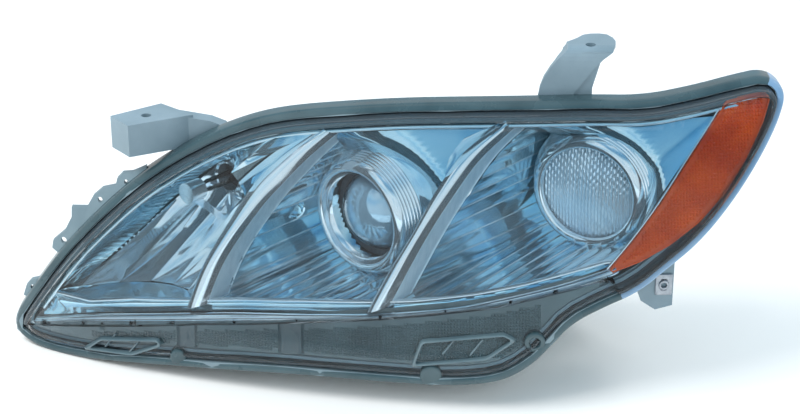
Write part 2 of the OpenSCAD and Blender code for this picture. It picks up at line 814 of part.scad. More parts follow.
turn_seat = 96;
marker_seat = wing_back + 8;
module turn_socket() color(dark) part_frame() turn_axis() twist_socket(socket_bore_r, turn_seat);
module turn_bulb() color(amber) part_frame() turn_axis() wedge_bulb(9, turn_seat, 62);
module turn_gasket() color(dark) part_frame() turn_axis() socket_gasket(socket_bore_r, turn_seat);
module marker_socket() color(dark) part_frame() marker_axis() twist_socket(marker_bore_r, marker_seat);
module marker_bulb() color(clear) part_frame() marker_axis() wedge_bulb(5, marker_seat, 40);
module marker_gasket() color(dark) part_frame() marker_axis() socket_gasket(marker_bore_r, marker_seat);

housing();
outer_lens();
lens_sealant();
bezel();
blade_inner();
blade_middle();
projector_ring();
turn_ring();
turn_inner_lens();
turn_reflector();
amber_reflex();
lower_trim();
inner_bracket();
outer_bracket();
lower_bracket();
lower_bracket_nut();
bracket_screws();
bezel_screws();
vent_caps();
low_boot();
high_boot();
pivot_bracket_low();
pivot_bracket_high();
aim_screw_clips();
projector_lens();
lens_holder();
cutoff_shade();
projector_reflector();
projector_screws();
low_pivot_pins();
low_bulb_glass();
low_bulb_base();
low_bulb_oring();
low_aim_nut();
low_aim_screw();
high_reflector();
high_bulb_shield();
high_pivot_pins();
high_bulb_glass();
high_bulb_base();
high_bulb_oring();
high_aim_nut();
high_aim_screw();
turn_socket();
turn_bulb();
turn_gasket();
marker_socket();
marker_bulb();
marker_gasket();
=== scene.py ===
import json
import math
import random

import bmesh
import bpy
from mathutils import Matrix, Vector
from mathutils.geometry import delaunay_2d_cdt


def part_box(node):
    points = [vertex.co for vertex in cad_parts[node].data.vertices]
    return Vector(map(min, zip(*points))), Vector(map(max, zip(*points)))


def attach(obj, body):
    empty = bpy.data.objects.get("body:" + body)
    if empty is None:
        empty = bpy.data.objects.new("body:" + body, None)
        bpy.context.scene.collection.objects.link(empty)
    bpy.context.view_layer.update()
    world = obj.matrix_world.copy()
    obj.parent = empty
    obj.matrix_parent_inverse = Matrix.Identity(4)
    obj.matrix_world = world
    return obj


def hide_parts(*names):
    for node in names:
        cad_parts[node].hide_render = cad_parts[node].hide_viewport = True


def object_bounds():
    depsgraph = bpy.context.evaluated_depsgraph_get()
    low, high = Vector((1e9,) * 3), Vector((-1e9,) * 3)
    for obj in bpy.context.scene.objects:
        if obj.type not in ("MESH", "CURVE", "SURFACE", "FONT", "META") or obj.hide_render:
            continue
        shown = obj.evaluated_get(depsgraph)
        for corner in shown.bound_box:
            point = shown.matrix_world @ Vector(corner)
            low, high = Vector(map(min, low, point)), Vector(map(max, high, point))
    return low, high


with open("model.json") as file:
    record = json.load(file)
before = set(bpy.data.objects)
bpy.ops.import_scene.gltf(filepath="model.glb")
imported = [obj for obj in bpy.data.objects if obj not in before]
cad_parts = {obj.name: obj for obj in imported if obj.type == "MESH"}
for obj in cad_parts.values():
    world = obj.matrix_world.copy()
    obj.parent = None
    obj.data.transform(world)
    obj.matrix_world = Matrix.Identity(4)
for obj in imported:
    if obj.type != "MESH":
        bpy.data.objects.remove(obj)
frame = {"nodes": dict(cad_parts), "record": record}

cad_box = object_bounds()
random.seed(7)

# ---------------------------------------------------------------- dimensions
# Lamp coordinates in millimetres: +X outboard, -Y forward, +Z up, origin on the lens face.
# Chord coordinates (u, z) lie along the swept face; depth runs square to it, to the rear.
BOLT = Vector((63, 162, 110))
SWEEP = math.radians(42)
COS, SIN = math.cos(SWEEP), math.sin(SWEEP)
FACE_AT = (120, 840, -210)
FACE_RING = 486
FACE_TUBE = 420

TOP_LINE = [
    (-329, -141), (-305, -105), (-281, -73), (-257, -47), (-222, -14), (-184, 12), (-148, 31),
    (-116, 43), (-85, 50), (-37, 56), (9, 60), (56, 62), (96, 63), (154, 64), (198, 62.5), (242, 67.5),
    (275, 72.5), (300, 75),
]
WING_LINE = [(309.5, 68), (304.5, 56), (287.5, 32), (262, 2), (235.5, -23.5), (211, -40), (187, -57)]
SKIRT_LINE = [
    (160, -67), (133, -80), (117, -97), (100, -114), (78, -126), (43, -130), (-17, -130), (-76, -130),
    (-137, -134), (-199, -140), (-265, -149), (-311, -151),
]
LAMP_OUTLINE = TOP_LINE + WING_LINE + SKIRT_LINE
# Where the proud face steps back to the skirt, as (u, z)
STEP_LINE = [
    (-420, -155), (-329, -138), (-251, -121), (-164, -104), (-81, -92), (-24, -85), (19, -79), (76, -71),
    (132, -58), (165, -50), (185, -70), (240, -120),
]
SKIRT_SET = 8
RAIL_TOP = [
    (-312, -132), (-253, -116), (-182, -102), (-131, -94), (-57, -87), (-24, -84), (40, -76), (80, -68),
    (128, -57), (160, -48), (172, -44),
]
RAIL_BOTTOM = [
    (-316, -137), (-253, -122), (-165, -106), (-81, -94), (-24, -88), (19, -82), (76, -73), (133, -61),
    (170, -51), (176, -48),
]
SILL_LINE = [
    (-262, -108), (-225, -99), (-178, -92), (-131, -85), (-81, -80), (-24, -76), (12, -73), (60, -66),
    (100, -58), (140, -48), (165, -42),
]

POCKET_LEFT = [(-268, -146), (-252, -133), (-201, -124), (-198, -129), (-224, -142)]
POCKET_RIGHT = [(9, -121), (17, -100), (83, -92), (93, -97), (70, -113)]

# Blades between the cells, as (x, z): left and right edge of the nose
NOSE_1_LEFT = [(-139, -97), (-134, -62), (-124, -27), (-115, 4), (-102, 26), (-84, 46)]
NOSE_1_RIGHT = [(-125, -92), (-119, -56), (-105, -15), (-95, 6), (-85, 25), (-73, 43)]
NOSE_2_LEFT = [(-5, -84), (2, -52), (9, -21), (13, 9), (19, 36), (34, 57)]
NOSE_2_RIGHT = [(8, -78), (13, -53), (19, -20), (24, 4), (30, 30), (41, 52)]
SATIN_DEPTH = 23
# Back walls of the low beam and turn cells, and the inner faces of the housing's steps beside them
LOW_BACK, TURN_BACK = 38, 160
STEP_LOW_X, STEP_TURN_X = -120.4, 19.6
COVE_HOLE_R = 50
# Planks of the cell floors and walls: width and hollow
PLANK = 12.5
HOLLOW = 0.9

AMBER_LINE = [
    (262, 61), (266, 66), (299, 71), (304, 66), (297, 51), (280, 26), (262, 4), (240, -15), (216, -30),
    (192, -41), (170, -48), (167, -46), (188, -24), (210, 1), (234, 30),
]
# Opening of the high beam reflector, as (x, z)
HIGH_RIM = [
    (-251, -104), (-244, -84), (-236, -66), (-223, -44), (-200, -18), (-172, 0), (-146, 12), (-120, 18),
    (-122, 4), (-129, -20), (-138, -50), (-142, -98),
]
TURN_AT = Vector((85, 134, -8))
TURN_TOE = 14
HIGH_FOCAL = 26
HIGH_VERTEX = Vector((-180, -18, -19))


def face_depth(u, z, off):
    """Depth behind the chord plane of the lens face moved inwards by off."""
    ring = math.sqrt((FACE_TUBE - off) ** 2 - (z - FACE_AT[2]) ** 2) + FACE_RING
    return FACE_AT[1] - math.sqrt(ring * ring - (u - FACE_AT[0]) ** 2)


def chord(u, depth, z):
    """Chord coordinates to lamp coordinates."""
    return Vector((u * COS - depth * SIN, u * SIN + depth * COS, z))


def on_face(u, z, off):
    return chord(u, face_depth(u, z, off), z)


def face_y(x, z, off):
    """Y of the offset face above a point of the lamp's XZ plane."""
    y = x * 0.9
    for _ in range(24):
        y = (face_depth(x * COS + y * SIN, z, off) + x * SIN) / COS
    return y


def along(line, t):
    """Smooth point at t from 0 to 1 on a line of points, by Catmull-Rom."""
    span = t * (len(line) - 1)
    i = min(int(span), len(line) - 2)
    f = span - i
    p = [Vector(line[max(0, min(len(line) - 1, i + k))]) for k in (-1, 0, 1, 2)]
    return 0.5 * (
        2 * p[1] + (p[2] - p[0]) * f + (2 * p[0] - 5 * p[1] + 4 * p[2] - p[3]) * f * f
        + (3 * p[1] - p[0] - 3 * p[2] + p[3]) * f * f * f
    )


def at_first(line, value):
    """Second coordinate of a line of points where the first has a value, by straight steps."""
    points = sorted(line)
    if value <= points[0][0]:
        return points[0][1]
    for (a, za), (b, zb) in zip(points, points[1:]):
        if value <= b:
            return za + (zb - za) * (value - a) / (b - a)
    return points[-1][1]


def flipped(line):
    return [(b, a) for a, b in line]


def smoothstep(t):
    t = max(0.0, min(1.0, t))
    return t * t * (3 - 2 * t)


def inset(line, d):
    """Moves every side of a clockwise outline inwards by d."""
    moved = []
    for i, p in enumerate(line):
        p = Vector(p)
        before = (p - Vector(line[i - 1])).normalized()
        after = (Vector(line[(i + 1) % len(line)]) - p).normalized()
        before, after = Vector((before.y, -before.x)), Vector((after.y, -after.x))
        moved.append(p + d * (before + after) / (1 + before.dot(after)))
    return moved


def rounded(line, times=3):
    """Cuts every corner, which turns an outline into a smooth curve."""
    for _ in range(times):
        cut = []
        for i, a in enumerate(line):
            b = line[(i + 1) % len(line)]
            cut += [a * 0.75 + b * 0.25, a * 0.25 + b * 0.75]
        line = cut
    return line


def softened(line, r):
    """Outline with every corner turned into a small arc that starts r from the corner."""
    soft = []
    for i, p in enumerate(line):
        p, a, b = Vector(p), Vector(line[i - 1]), Vector(line[(i + 1) % len(line)])
        a, b = p + (a - p).normalized() * r, p + (b - p).normalized() * r
        soft += [a * (1 - t) ** 2 + p * 2 * t * (1 - t) + b * t * t for t in (0, 0.25, 0.5, 0.75, 1)]
    return soft


def outline(d, times=3):
    return rounded(inset(LAMP_OUTLINE, d), times)


def inside(point, polygon):
    x, y = point
    hit = False
    for i, a in enumerate(polygon):
        b = polygon[i - 1]
        if (a[1] > y) != (b[1] > y) and x < (b[0] - a[0]) * (y - a[1]) / (b[1] - a[1]) + a[0]:
            hit = not hit
    return hit


# ---------------------------------------------------------------- mesh helpers
def row(p):
    """Lamp millimetres to metres in the row frame."""
    return (Vector(p) - BOLT) * 0.001


def boxed(p):
    """Keeps a point inside the box of the CAD model."""
    low, high = cad_box
    return Vector([min(max(v, a + 1e-4), b - 1e-4) for v, a, b in zip(p, low, high)])


def piece(name, verts, faces, mat, body, replaces=(), angle=32):
    mesh = bpy.data.meshes.new(name)
    mesh.from_pydata([boxed(row(v)) for v in verts], [], faces)
    mesh.validate()
    bm = bmesh.new()
    bm.from_mesh(mesh)
    bmesh.ops.remove_doubles(bm, verts=bm.verts, dist=1e-5)
    bmesh.ops.recalc_face_normals(bm, faces=bm.faces)
    bm.to_mesh(mesh)
    bm.free()
    for polygon in mesh.polygons:
        polygon.use_smooth = True
    mesh.set_sharp_from_angle(angle=math.radians(angle))
    mesh.materials.append(mat)
    obj = bpy.data.objects.new(name, mesh)
    bpy.context.scene.collection.objects.link(obj)
    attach(obj, body)
    if replaces:
        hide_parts(*replaces)
    return obj


class Build:
    """Collects grids, lofts and plates in lamp millimetres, to make one piece."""

    def __init__(self):
        self.verts = []
        self.faces = []

    def add(self, verts, faces):
        base = len(self.verts)
        self.verts += [Vector(v) for v in verts]
        self.faces += [tuple(base + i for i in f) for f in faces]

    def grid(self, rows, closed=False, skip=None):
        """Quads between rows of points. skip takes a face's middle and leaves it out."""
        n = len(rows[0])
        verts = [p for r in rows for p in r]
        faces = []
        for i in range(len(rows) - 1):
            for j in range(n if closed else n - 1):
                k = (j + 1) % n
                quad = (i * n + j, i * n + k, (i + 1) * n + k, (i + 1) * n + j)
                if skip and skip(sum((Vector(verts[q]) for q in quad), Vector()) / 4):
                    continue
                faces.append(quad)
        self.add(verts, faces)

    def plate(self, polygon, place, pitch=7, lines=()):
        """Fills a flat outline with triangles, then places every point."""
        points = [Vector(p) for p in polygon]
        edges = [(i, (i + 1) % len(points)) for i in range(len(points))]
        for line in lines:
            start = len(points)
            points += [Vector(p) for p in line]
            edges += [(start + i, start + i + 1) for i in range(len(line) - 1)]
        u0, u1 = min(p.x for p in points), max(p.x for p in points)
        z0, z1 = min(p.y for p in points), max(p.y for p in points)
        shape = [tuple(p) for p in polygon]
        for i in range(int((u1 - u0) / pitch) + 1):
            for j in range(int((z1 - z0) / pitch) + 1):
                q = (u0 + (i + 0.5 * (j % 2)) * pitch, z0 + j * pitch)
                if inside(q, shape):
                    points.append(Vector(q))
        made, _, tris, _, _, _ = delaunay_2d_cdt(points, edges, [list(range(len(polygon)))], 1, 1e-4)
        self.add([place(p.x, p.y) for p in made], tris)

    def lathe(self, profile, centre, toe=0.0, steps=128):
        """Profile of (radius, depth) round an axis that runs to the rear, turned outboard by toe."""
        c, s = math.cos(math.radians(toe)), math.sin(math.radians(toe))
        rows = []
        for r, d in profile:
            ring = []
            for k in range(steps):
                a = math.radians(360.0 * k / steps)
                x, z = r * math.cos(a), r * math.sin(a)
                ring.append(Vector(centre) + Vector((x * c - d * s, x * s + d * c, z)))
            rows.append(ring)
        self.grid(rows, closed=True)

    def bead(self, path, out, radius, steps=8):
        """Half-round rib along a path, standing proud in direction out. The radius may be a function."""
        rows = []
        up = Vector(out).normalized()
        for i, p in enumerate(path):
            p = Vector(p)
            ahead = Vector(path[min(i + 1, len(path) - 1)]) - Vector(path[max(i - 1, 0)])
            side = ahead.normalized().cross(up)
            r = radius(i) if callable(radius) else radius
            rows.append([
                p + side * r * math.cos(math.pi * k / steps) + up * r * math.sin(math.pi * k / steps)
                for k in range(steps + 1)
            ])
        self.grid(rows)

    def make(self, name, mat, body, slot, replaces=(), angle=32):
        return piece(name, self.verts, self.faces, mat, body, replaces, angle)


def modifier(obj, kind, **settings):
    made = obj.modifiers.new(kind.title(), kind)
    for key, value in settings.items():
        setattr(made, key, value)


# ---------------------------------------------------------------- materials
def new_material(name):
    mat = bpy.data.materials.new(name)
    mat.use_nodes = True
    nodes, links = mat.node_tree.nodes, mat.node_tree.links
    return mat, nodes, links, nodes["Principled BSDF"]


def noise(nodes, links, scale, detail=4.0, stretch=(1, 1, 1)):
    """Noise in object space at a scale in features per metre."""
    place = nodes.new("ShaderNodeTexCoord")
    mapping = nodes.new("ShaderNodeMapping")
    mapping.inputs["Scale"].default_value = stretch
    texture = nodes.new("ShaderNodeTexNoise")
    texture.inputs["Scale"].default_value = scale
    texture.inputs["Detail"].default_value = detail
    links.new(place.outputs["Object"], mapping.inputs["Vector"])
    links.new(mapping.outputs["Vector"], texture.inputs["Vector"])
    return texture.outputs[0]


def ramp(nodes, links, source, stops):
    made = nodes.new("ShaderNodeValToRGB")
    elements = made.color_ramp.elements
    while len(elements) < len(stops):
        elements.new(0.5)
    for element, (place, colour) in zip(elements, stops):
        element.position = place
        element.color = (*colour, 1) if len(colour) == 3 else colour
    links.new(source, made.inputs["Fac"])
    return made.outputs["Color"]


def spread(nodes, links, source, low, high):
    made = nodes.new("ShaderNodeMapRange")
    made.inputs["To Min"].default_value = low
    made.inputs["To Max"].default_value = high
    links.new(source, made.inputs["Value"])
    return made.outputs["Result"]


def bump(nodes, links, shader, source, strength, distance):
    made = nodes.new("ShaderNodeBump")
    made.inputs["Strength"].default_value = strength
    made.inputs["Distance"].default_value = distance
    links.new(source, made.inputs["Height"])
    links.new(made.outputs["Normal"], shader.inputs["Normal"])


def chrome_material(name, tint, deep, rough=(0.03, 0.08), wave=0.25):
    """Metallised plastic: mirror bright, tinted, with a slow waviness and faint haze."""
    mat, nodes, links, shader = new_material(name)
    shader.inputs["Metallic"].default_value = 1.0
    slow = noise(nodes, links, 22, 2)
    links.new(ramp(nodes, links, slow, [(0.3, deep), (0.7, tint)]), shader.inputs["Base Color"])
    haze = noise(nodes, links, 140, 5)
    links.new(spread(nodes, links, haze, *rough), shader.inputs["Roughness"])
    bump(nodes, links, shader, slow, wave, 0.0008)
    return mat


def satin_material(name, light, dark):
    mat, nodes, links, shader = new_material(name)
    shader.inputs["Metallic"].default_value = 0.25
    brush = noise(nodes, links, 260, 6, stretch=(1, 1, 0.25))
    links.new(ramp(nodes, links, brush, [(0.35, dark), (0.65, light)]), shader.inputs["Base Color"])
    links.new(spread(nodes, links, brush, 0.3, 0.42), shader.inputs["Roughness"])
    bump(nodes, links, shader, brush, 0.12, 0.0002)
    return mat


def plastic_material(name, light, dark, rough=(0.42, 0.6), grain=0.25, coat=0.0):
    """Moulded plastic: cloudy colour, fine spark-erosion grain, roughness that varies."""
    mat, nodes, links, shader = new_material(name)
    cloud = noise(nodes, links, 26, 5)
    links.new(ramp(nodes, links, cloud, [(0.3, dark), (0.7, light)]), shader.inputs["Base Color"])
    links.new(spread(nodes, links, cloud, *rough), shader.inputs["Roughness"])
    shader.inputs["Coat Weight"].default_value = coat
    bump(nodes, links, shader, noise(nodes, links, 1500, 3), grain, 0.0003)
    return mat


def metal_material(name, light, dark, rough=(0.25, 0.4)):
    mat, nodes, links, shader = new_material(name)
    shader.inputs["Metallic"].default_value = 1.0
    grain = noise(nodes, links, 300, 8)
    links.new(ramp(nodes, links, grain, [(0.3, dark), (0.7, light)]), shader.inputs["Base Color"])
    links.new(spread(nodes, links, grain, *rough), shader.inputs["Roughness"])
    bump(nodes, links, shader, grain, 0.15, 0.0003)
    return mat


def sheet_glass_material(name, tint, gloss=0.9, ior=1.5, rough=0.02, veil=0.0):
    """Clear moulding whose inside stays lit: see-through, with a Fresnel-weighted reflection."""
    mat = bpy.data.materials.new(name)
    mat.use_nodes = True
    nodes, links = mat.node_tree.nodes, mat.node_tree.links
    nodes.remove(nodes["Principled BSDF"])
    out = nodes["Material Output"]
    clear = nodes.new("ShaderNodeBsdfTransparent")
    clear.inputs["Color"].default_value = (*tint, 1)
    shine = nodes.new("ShaderNodeBsdfGlossy")
    shine.inputs["Color"].default_value = (gloss, gloss, gloss, 1)
    haze = noise(nodes, links, 60, 4)
    links.new(spread(nodes, links, haze, rough * 0.5, rough * 1.5), shine.inputs["Roughness"])
    fresnel = nodes.new("ShaderNodeFresnel")
    fresnel.inputs["IOR"].default_value = ior
    mix = nodes.new("ShaderNodeMixShader")
    links.new(fresnel.outputs["Fac"], mix.inputs[0])
    links.new(clear.outputs[0], mix.inputs[1])
    links.new(shine.outputs[0], mix.inputs[2])
    links.new(mix.outputs[0], out.inputs["Surface"])
    if veil:
        milk = nodes.new("ShaderNodeBsdfDiffuse")
        milk.inputs["Color"].default_value = (0.62, 0.78, 0.9, 1)
        second = nodes.new("ShaderNodeMixShader")
        second.inputs[0].default_value = veil
        links.new(mix.outputs[0], second.inputs[1])
        links.new(milk.outputs[0], second.inputs[2])
        links.new(second.outputs[0], out.inputs["Surface"])
    return mat


def painted_light_lens_material(name, middle, edge):
    """Thick lens with painted light: pale where it is seen square on and dark towards its edge, a painted
    stand-in for the light and shade seen in the glass, under a real hard gloss.
    """
    mat, nodes, links, shader = new_material(name)
    facing = nodes.new("ShaderNodeLayerWeight")
    facing.inputs["Blend"].default_value = 0.5
    # painted light: the facing ramp paints the base colour pale in the middle and dark at the edge
    stops = [(0.0, middle), (0.45, middle), (0.8, edge), (1.0, edge)]
    links.new(ramp(nodes, links, facing.outputs["Facing"], stops), shader.inputs["Base Color"])
    haze = noise(nodes, links, 90, 4)
    links.new(spread(nodes, links, haze, 0.02, 0.05), shader.inputs["Roughness"])
    shader.inputs["Metallic"].default_value = 0.5
    shader.inputs["Coat Weight"].default_value = 1.0
    return mat


def amber_material():
    mat, nodes, links, shader = new_material("amber")
    cloud = noise(nodes, links, 35, 4)
    colour = ramp(nodes, links, cloud, [(0.25, (0.55, 0.045, 0.002)), (0.75, (0.86, 0.11, 0.004))])
    links.new(colour, shader.inputs["Base Color"])
    links.new(spread(nodes, links, cloud, 0.12, 0.26), shader.inputs["Roughness"])
    shader.inputs["Specular IOR Level"].default_value = 0.25
    shader.inputs["Coat Weight"].default_value = 0.15
    shader.inputs["Subsurface Weight"].default_value = 0.2
    shader.inputs["Subsurface Radius"].default_value = (0.01, 0.003, 0.001)
    return mat


CELL = chrome_material("cell_plate", (0.80, 0.96, 1.0), (0.44, 0.72, 0.88), (0.05, 0.11), 0.12)
CELL.node_tree.nodes["Principled BSDF"].inputs["Metallic"].default_value = 0.86
CHROME = chrome_material("chrome_plate", (0.82, 0.95, 1.0), (0.62, 0.83, 0.94))
MIRROR = chrome_material("mirror_coat", (0.93, 0.99, 1.0), (0.82, 0.93, 1.0), (0.03, 0.08), 0.12)
MIRROR.node_tree.nodes["Principled BSDF"].inputs["Metallic"].default_value = 0.78
BRIGHT = chrome_material("bright_trim", (0.97, 0.99, 1.0), (0.86, 0.93, 0.97), (0.08, 0.14), 0.1)
BRIGHT.node_tree.nodes["Principled BSDF"].inputs["Metallic"].default_value = 0.82
SATIN = satin_material("satin_trim", (0.72, 0.85, 0.92), (0.60, 0.75, 0.83))
GREY = plastic_material("housing_grey", (0.20, 0.27, 0.30), (0.14, 0.20, 0.23))
BRACKET = plastic_material("bracket_grey", (0.22, 0.30, 0.35), (0.16, 0.23, 0.27), (0.35, 0.5))
DARK_TRIM = plastic_material("dark_trim", (0.13, 0.19, 0.20), (0.07, 0.11, 0.12), (0.3, 0.45), 0.1, 0.3)
EDGE_TRIM = plastic_material("edge_trim", (0.055, 0.10, 0.115), (0.03, 0.06, 0.07), (0.2, 0.35), 0.1, 0.4)
POCKET = plastic_material("pocket_clear", (0.11, 0.165, 0.185), (0.06, 0.10, 0.12), (0.08, 0.16), 0.05, 0.8)
SEALANT = plastic_material("sealant", (0.05, 0.055, 0.06), (0.02, 0.022, 0.026), (0.5, 0.7), 0.5)
RUBBER = plastic_material("rubber", (0.035, 0.036, 0.038), (0.016, 0.017, 0.018), (0.55, 0.75), 0.5)
BLACK = plastic_material("black_plastic", (0.03, 0.031, 0.034), (0.012, 0.013, 0.015), (0.35, 0.5), 0.3)
RED_SEAL = plastic_material("seal_ring", (0.50, 0.11, 0.04), (0.32, 0.06, 0.025), (0.4, 0.55), 0.2)
NYLON = plastic_material("white_nylon", (0.80, 0.79, 0.72), (0.66, 0.65, 0.58), (0.35, 0.5), 0.15, 0.2)
STEEL = metal_material("steel", (0.72, 0.74, 0.76), (0.52, 0.54, 0.57))
CAST = metal_material("cast_metal", (0.46, 0.49, 0.53), (0.30, 0.33, 0.37), (0.35, 0.55))
CLEAR = sheet_glass_material("clear_lens", (0.93, 0.975, 1.0), 0.7, 1.42, 0.02)
CLEAR_RIM = sheet_glass_material("clear_rim", (0.72, 0.88, 0.93), 0.8, 1.5, 0.05, 0.05)
FLUTED = chrome_material("fluted_lens", (0.86, 0.93, 0.97), (0.66, 0.80, 0.90), (0.1, 0.2), 0.1)
FLUTED.node_tree.nodes["Principled BSDF"].inputs["Metallic"].default_value = 0.55
# painted light: the projector lens gets a painted pale middle and a painted dark edge
PAINTED_LIGHT_LENS_GLASS = painted_light_lens_material("lens_glass", (0.50, 0.68, 0.80), (0.03, 0.06, 0.08))
# painted reflection: pale blue finish for the wing run of the housing edge, standing in for sky light on it
PAINTED_REFLECTION_WING_EDGE = plastic_material("wing_edge_painted_reflection", (0.22, 0.36, 0.52), (0.15, 0.27, 0.42), (0.12, 0.25), 0.05, 0.7)
BULB_GLASS = sheet_glass_material("bulb_glass", (0.92, 0.96, 1.0), 1.0, 1.5, 0.01)
AMBER = amber_material()

NODE_FINISH = {"high_bulb_shield": BRIGHT, "lens_holder": CAST, "cutoff_shade": CAST}
CAD_FINISH = {
    "housing_grey": GREY, "clear_lens": CLEAR, "sealant": SEALANT, "chrome_plate": CHROME,
    "satin_trim": SATIN, "mirror_coat": MIRROR, "amber": AMBER, "dark_trim": DARK_TRIM,
    "bracket_grey": BRACKET, "steel": STEEL, "cast_metal": CAST, "lens_glass": BULB_GLASS,
    "rubber": RUBBER, "black_plastic": BLACK, "seal_ring": RED_SEAL, "white_nylon": NYLON,
}
# Rounded edges of the plain CAD nodes, in metres
BEVEL = {
    "housing": 0.0012, "inner_bracket": 0.0016, "outer_bracket": 0.0009, "lower_bracket": 0.0012,
    "low_boot": 0.0008, "high_boot": 0.0008, "low_bulb_base": 0.0007, "high_bulb_base": 0.0007,
    "turn_socket": 0.0008, "marker_socket": 0.0008, "vent_caps": 0.0008, "lower_bracket_nut": 0.0005,
    "pivot_bracket_low": 0.0006, "pivot_bracket_high": 0.0006,
}


def finish_cad_nodes():
    """Every CAD node gets its finish and smooth shading by angle; the nodes listed in BEVEL also get small
    rounded edges.
    """
    for part in frame["record"]["subparts"]:
        obj = frame["nodes"][part["node"]]
        obj.data.materials.clear()
        obj.data.materials.append(NODE_FINISH.get(part["node"], CAD_FINISH[part["material_slot"]]))
        for polygon in obj.data.polygons:
            polygon.use_smooth = True
        obj.data.set_sharp_from_angle(angle=math.radians(30))
        width = BEVEL.get(part["node"])
        if width:
            modifier(obj, "BEVEL", width=width, segments=2, limit_method="ANGLE",
                     angle_limit=math.radians(35), harden_normals=True)


# ---------------------------------------------------------------- clear lens
def step_depth(u, z):
    """How far the lens lies behind the face: the skirt is set back under the step."""
    return SKIRT_SET * smoothstep((at_first(STEP_LINE, u) - z + 0.6) / 2.2)


def build_lens():
    fillet = 3.2
    lens = Build()
    edge = outline(fillet)
    keep = [tuple(p) for p in outline(fillet + 1.2)]
    lines = []
    for drop in (0.6, -0.1, -0.9, -1.6):
        line = []
        for k in range(110):
            u = -318 + k * 4.75
            q = (u, at_first(STEP_LINE, u) + drop)
            if inside(q, keep):
                line.append(q)
        lines.append(line)
    lens.plate(edge, lambda u, z: on_face(u, z, step_depth(u, z)), 8, lines)
    obj = lens.make("outer_lens_shell", CLEAR, "lamp", "clear_lens", ["outer_lens"], 40)
    modifier(obj, "SOLIDIFY", thickness=0.0024, offset=-1)

    rim = Build()
    rings = []
    for k in range(7):
        a = math.radians(90 * k / 6)
        rings.append([
            on_face(p.x, p.y, step_depth(b.x, b.y) + fillet * (1 - math.cos(a)))
            for p, b in zip(outline(fillet * (1 - math.sin(a))), edge)
        ])
    rings.append([on_face(p.x, p.y, 12) for p in outline(0)])
    rings.append([on_face(p.x, p.y, 12.2) for p in outline(2.6)])
    rings.append([on_face(p.x, p.y, max(6.5, step_depth(b.x, b.y) + 3))
                  for p, b in zip(outline(2.6), edge)])
    rim.grid(rings, closed=True)
    rim.make("outer_lens_rim", CLEAR_RIM, "lamp", "clear_lens", (), 50)

    for name, shape in (("left", POCKET_LEFT), ("right", POCKET_RIGHT)):
        pocket = Build()
        loops = []
        for d, off in ((-0.4, 8.2), (0, 4.4), (0.5, 3.8), (1.3, 3.8), (1.8, 4.4), (1.8, 8.2)):
            loops.append([on_face(p.x, p.y, off) for p in softened(inset(shape, d), 3)])
        pocket.grid(loops, closed=True)
        middle = sum((Vector(q) for q in shape), Vector((0, 0))) / len(shape)
        for shift in (-13, 9):
            q = middle + Vector((shift, 1))
            ends = (q + Vector((-7, -7)), q + Vector((3, 6)))
            pocket.bead([on_face(e.x, e.y, 7.8) for e in ends], chord(0, -1, 0), 1.0)
        pocket.make("skirt_pocket_" + name, POCKET, "lamp", "clear_lens", (), 50)


# ---------------------------------------------------------------- bezel
def sill(u):
    return at_first(SILL_LINE, u)


def wall_x(line, z):
    """X of a blade's edge at a height."""
    return at_first(flipped(line), z)


def blade(name, left, right, node):
    """Fin between two cells: a bright rounded nose with a satin face behind it."""
    steps = 40
    nose, face_of = Build(), Build()
    nose_rows, satin_rows = [], []
    for k in range(steps + 1):
        t = k / steps
        a, b = along(left, t), along(right, t)
        pa = Vector((a.x, face_y(a.x, a.y, 11), a.y))
        pb = Vector((b.x, face_y(b.x, b.y, 13), b.y))
        line = []
        for j in range(13):
            s = j / 12
            line.append(pa.lerp(pb, s) + Vector((0, -4.5 * math.sin(math.pi * s), 0)))
        nose_rows.append([pa + Vector((1.0, 12, 0))] + line)
        satin = [pb, pb + Vector((0.4, 0.8, 0)), pb + Vector((0.6, SATIN_DEPTH - 1.2, 0))]
        satin += [pb + Vector((1.4, SATIN_DEPTH, 0)), pb + Vector((0.2, SATIN_DEPTH + 0.6, 0))]
        satin_rows.append(satin)
    nose.grid(nose_rows)
    face_of.grid(satin_rows)
    nose.make(name + "_nose", BRIGHT, "lamp", "chrome_plate")
    face_of.make(name + "_face", SATIN, "lamp", "satin_trim", [node])


def kept(p):
    """Keeps a point of a cell floor inside the stepped body of the housing."""
    if p.y > 5:
        p.x = max(p.x, STEP_LOW_X)
    if p.y > 115:
        p.x = max(p.x, STEP_TURN_X)
    return p


def ribbed_floor(build, beads, u0, u1, back, first, slope):
    """Cell floor: hollow planks that run to the rear, with a fine bright bead between each pair."""
    x0 = on_face(u0, sill(u0), 15).x
    x1 = on_face(u1, sill(u1), 15).x

    def start(x):
        u = x / COS
        for _ in range(30):
            u = (x + face_depth(u, sill(u), 15) * SIN) / COS
        return on_face(u, sill(u), 15) - Vector((0, 0, 1))

    def at(x, t):
        p = start(x)
        y = p.y + (back - p.y) * t
        return kept(Vector((x, y, p.z + (y - p.y) * slope)))

    rows = []
    count = int((x1 - x0) / PLANK * 8)
    for i in range(count + 1):
        x = x0 + (x1 - x0) * i / count
        hollow = HOLLOW * abs(math.sin(math.pi * (x - first) / PLANK))
        rows.append([at(x, j / 14) - Vector((0, 0, hollow)) for j in range(15)])
    build.grid(rows)
    k = math.ceil((x0 - first) / PLANK)
    while first + k * PLANK < x1:
        x = first + k * PLANK
        beads.bead([at(x, j / 14) for j in range(15)], (0, 0, 1), 0.62, 6)
        k += 1


